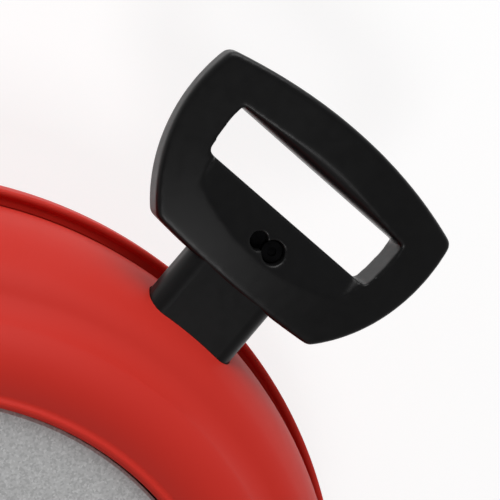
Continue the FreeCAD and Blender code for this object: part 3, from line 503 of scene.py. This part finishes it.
def make_lower_skin():
    """The lower shell with its rolled lip, belly, ring slot, hollow and screw sinks."""
    band = RIM_HEIGHT - LIP_BAND
    lip_foot = RIM_HEIGHT - LIP_RISE / 2
    lip_inner = RIM - LIP_WIDTH
    lip_crown = (RIM - LIP_WIDTH / 2, BASE_HIGH.z - LIP_EASE)
    ledge_inner = SKIRT - LEDGE_WIDTH
    out, up = RIM - BELLY, band - BASE
    chord = math.hypot(out, up)
    bulge_out, bulge_down = BELLY_BULGE * up / chord, BELLY_BULGE * out / chord
    swell = ((RIM + BELLY) / 2 + bulge_out, (band + BASE) / 2 - bulge_down)
    inner_swell = (swell[0] - WALL * WALL_SKEW, swell[1] + WALL * WALL_SKEW)
    inner_wall = RIM - WALL - LIP_WIDTH
    floor_top = HOLLOW_TOP + WALL
    under_ledge = LEDGE - WALL
    groove = SKIRT + SEAM
    through = BOLT_HOLE - SEAM
    blank = turned("lower_shell_skin", softened([
        (straight((BOLT_HOLE, HOLLOW_TOP), (HOLLOW[0], HOLLOW_TOP)), BEND),
        (straight((HOLLOW[0], HOLLOW_TOP), (HOLLOW[1], BASE)), HOLLOW_EDGE),
        (straight((HOLLOW[1], BASE), (RING_SLOT[0], BASE)), RING_EDGE),
        (straight((RING_SLOT[0], BASE), (RING_SLOT[0], RING_SEAT)), 0),
        (straight((RING_SLOT[0], RING_SEAT), (RING_SLOT[1], RING_SEAT)), 0),
        (straight((RING_SLOT[1], RING_SEAT), (RING_SLOT[1], BASE)), RING_EDGE),
        (straight((RING_SLOT[1], BASE), (BELLY, BASE)), BASE_BEND),
        (arc((BELLY, BASE), swell, (RIM, band), 40), BEND),
        (straight((RIM, band), (RIM, lip_foot)), BAND_EDGE),
        (arc((RIM, lip_foot), lip_crown, (lip_inner, lip_foot), 20), LIP_BEND),
        (straight((lip_inner, lip_foot), (groove, lip_foot)), GROOVE_EDGE),
        (straight((groove, lip_foot), (groove, LEDGE)), GROOVE_FOOT),
        (straight((groove, LEDGE), (BOLT_HOLE, LEDGE)), FINE_EDGE),
        (straight((BOLT_HOLE, LEDGE), (BOLT_HOLE, HOLLOW_TOP)), FINE_EDGE),
    ]))
    hollow = turned("hollow", softened([
        (straight((through, SEAT), (ledge_inner, SEAT)), 0),
        (straight((ledge_inner, SEAT), (ledge_inner, under_ledge)), FINE_EDGE),
        (straight((ledge_inner, under_ledge), (inner_wall, under_ledge)), EDGE),
        (straight((inner_wall, under_ledge), (inner_wall, band)), BEND),
        (arc((inner_wall, band), inner_swell, (BELLY - WALL / 2, BASE + WALL), 16), BEND),
        (straight((BELLY - WALL / 2, BASE + WALL), (FLOOR_STEP, BASE + WALL)), EDGE),
        (straight((FLOOR_STEP, BASE + WALL), (FLOOR_STEP - WALL / 2, floor_top)), EDGE),
        (straight((FLOOR_STEP - WALL / 2, floor_top), (through, floor_top)), 0),
        (straight((through, floor_top), (through, SEAT)), 0),
    ]))
    cut_out(hollow, posts("boss", BOSS_RADIUS, 0, LEDGE))
    sinks = posts("sink", SCREW_SINK, 0, SCREW_SEAT)
    holes = posts("hole", SCREW_HOLE, SCREW_SEAT - SEAM, SEAT)
    cut_out(blank, [hollow] + sinks + holes)
    shade(blank)
    stand_in(blank, "lower_shell")


def make_moulded(node, name, voxel, passes):
    """A copy of a CAD node with every edge softened as in the moulding."""
    piece = bpy.data.objects.new(name, frame["nodes"][node].data.copy())
    bpy.context.collection.objects.link(piece)
    skin = piece.modifiers.new("skin", "REMESH")
    skin.mode = "VOXEL"
    skin.voxel_size = voxel * MM
    ease = piece.modifiers.new("ease", "SMOOTH")
    ease.factor = 0.5
    ease.iterations = passes
    settle(piece)
    piece.data.shade_smooth()
    stand_in(piece, node)
    return piece


def fall_away(piece):
    """The grip's front face leans back a little towards the neck, as the moulding does."""
    low, high = (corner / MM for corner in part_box("grip"))
    middle = (low.z + high.z) / 2
    half = (high.z - low.z) / 2
    for vertex in piece.data.vertices:
        place = vertex.co / MM
        near = max(0.0, 1.0 - (place.x - low.x) / LEAN_REACH) ** LEAN_POWER
        front = max(0.0, (place.z - middle) / half)
        vertex.co.z -= LEAN * near * front * MM


make_top_skin()
make_lower_skin()
grip = make_moulded("grip", "grip_moulding", GRIP_VOXEL, GRIP_PASSES)
fall_away(grip)


# ---------------------------------------------------------------- studio
def new_nodes(tree, *kinds):
    return [tree.nodes.new(kind) for kind in kinds]


def backdrop_rays(tree):
    """1 for rays from the camera and from mirror-like or clear surfaces, otherwise 0."""
    path, first, second = new_nodes(tree, "ShaderNodeLightPath", "ShaderNodeMath", "ShaderNodeMath")
    first.operation = "MAXIMUM"
    second.operation = "MAXIMUM"
    tree.links.new(path.outputs["Is Camera Ray"], first.inputs[0])
    tree.links.new(path.outputs["Is Transmission Ray"], first.inputs[1])
    tree.links.new(first.outputs[0], second.inputs[0])
    tree.links.new(path.outputs["Is Glossy Ray"], second.inputs[1])
    return second.outputs[0]


def make_floor():
    """A large pale floor that shows as plain white to the camera and keeps the object's shadow."""
    bpy.ops.mesh.primitive_plane_add(size=FLOOR_SIZE, location=(0, 0, 0))
    floor = bpy.context.object
    floor.name = "floor"
    material = bpy.data.materials.new("floor_white")
    material.use_nodes = True
    tree = material.node_tree
    tree.nodes.clear()
    output, plain, shown, glow, both, choose = new_nodes(
        tree, "ShaderNodeOutputMaterial", "ShaderNodeBsdfDiffuse", "ShaderNodeBsdfDiffuse",
        "ShaderNodeEmission", "ShaderNodeAddShader", "ShaderNodeMixShader",
    )
    plain.inputs["Color"].default_value = FLOOR_GREY
    shown.inputs["Color"].default_value = FLOOR_SHOWN
    glow.inputs["Strength"].default_value = FLOOR_GLOW
    tree.links.new(shown.outputs[0], both.inputs[0])
    tree.links.new(glow.outputs[0], both.inputs[1])
    tree.links.new(backdrop_rays(tree), choose.inputs["Fac"])
    tree.links.new(plain.outputs[0], choose.inputs[1])
    tree.links.new(both.outputs[0], choose.inputs[2])
    tree.links.new(choose.outputs[0], output.inputs["Surface"])
    floor.data.materials.append(material)


def make_camera():
    """The viewpoint: close above the grip, rolled on its side."""
    azimuth, elevation, roll = VIEW_AZIMUTH, VIEW_ELEVATION, VIEW_ROLL
    forward = Vector((
        math.sin(azimuth) * math.cos(elevation),
        math.cos(azimuth) * math.cos(elevation),
        -math.sin(elevation),
    ))
    level = Vector((math.cos(azimuth), -math.sin(azimuth), 0.0))
    rise = level.cross(forward)
    right = level * math.cos(roll) + rise * math.sin(roll)
    up = rise * math.cos(roll) - level * math.sin(roll)
    data = bpy.data.cameras.new("camera")
    data.sensor_width = SENSOR_WIDTH
    data.lens = LENS
    data.clip_start = 0.01
    data.clip_end = 50.0
    camera = bpy.data.objects.new("camera", data)
    bpy.context.collection.objects.link(camera)
    turn = Matrix((right, up, -forward)).transposed()
    camera.matrix_world = Matrix.Translation(VIEW_TARGET - forward * VIEW_DISTANCE) @ turn.to_4x4()
    bpy.context.scene.camera = camera


def area_light(name, place, aim, size, power):
    """A square soft box that faces its aim."""
    data = bpy.data.lights.new(name, "AREA")
    data.shape = "SQUARE"
    data.size = size
    data.energy = power
    lamp = bpy.data.objects.new(name, data)
    bpy.context.collection.objects.link(lamp)
    lamp.location = place
    lamp.rotation_mode = "QUATERNION"
    lamp.rotation_quaternion = (Vector(aim) - Vector(place)).to_track_quat("-Z", "Y")


def make_world(level, overhead):
    """Pale surroundings that darken towards the zenith; the camera sees a plain white backdrop."""
    world = bpy.data.worlds.new("studio")
    bpy.context.scene.world = world
    world.use_nodes = True
    tree = world.node_tree
    tree.nodes.clear()
    output, sky, plain, choose, place, split, fade, path = new_nodes(
        tree, "ShaderNodeOutputWorld", "ShaderNodeBackground", "ShaderNodeBackground",
        "ShaderNodeMixShader", "ShaderNodeTexCoord", "ShaderNodeSeparateXYZ", "ShaderNodeMapRange",
        "ShaderNodeLightPath",
    )
    fade.inputs["From Min"].default_value = SKY_LOW
    fade.inputs["From Max"].default_value = SKY_HIGH
    fade.inputs["To Min"].default_value = level
    fade.inputs["To Max"].default_value = overhead
    tree.links.new(place.outputs["Generated"], split.inputs[0])
    tree.links.new(split.outputs["Z"], fade.inputs["Value"])
    tree.links.new(fade.outputs["Result"], sky.inputs["Strength"])
    plain.inputs["Color"].default_value = WHITE
    sky.inputs["Color"].default_value = WHITE
    tree.links.new(path.outputs["Is Camera Ray"], choose.inputs["Fac"])
    tree.links.new(sky.outputs[0], choose.inputs[1])
    tree.links.new(plain.outputs[0], choose.inputs[2])
    tree.links.new(choose.outputs[0], output.inputs["Surface"])


make_floor()
make_camera()
make_world(0.5, 0.14)
area_light("key", (1.3, 0.6, 0.5), LIT_POINT, 1.2, 19.5)
area_light("side", (-0.6, 1.4, 0.5), LIT_POINT, 1.0, 1.0)
area_light("top", (-0.36, -0.17, 1.36), LIT_POINT, 0.4, 5.0)

bpy.context.scene.view_settings.view_transform = "Standard"
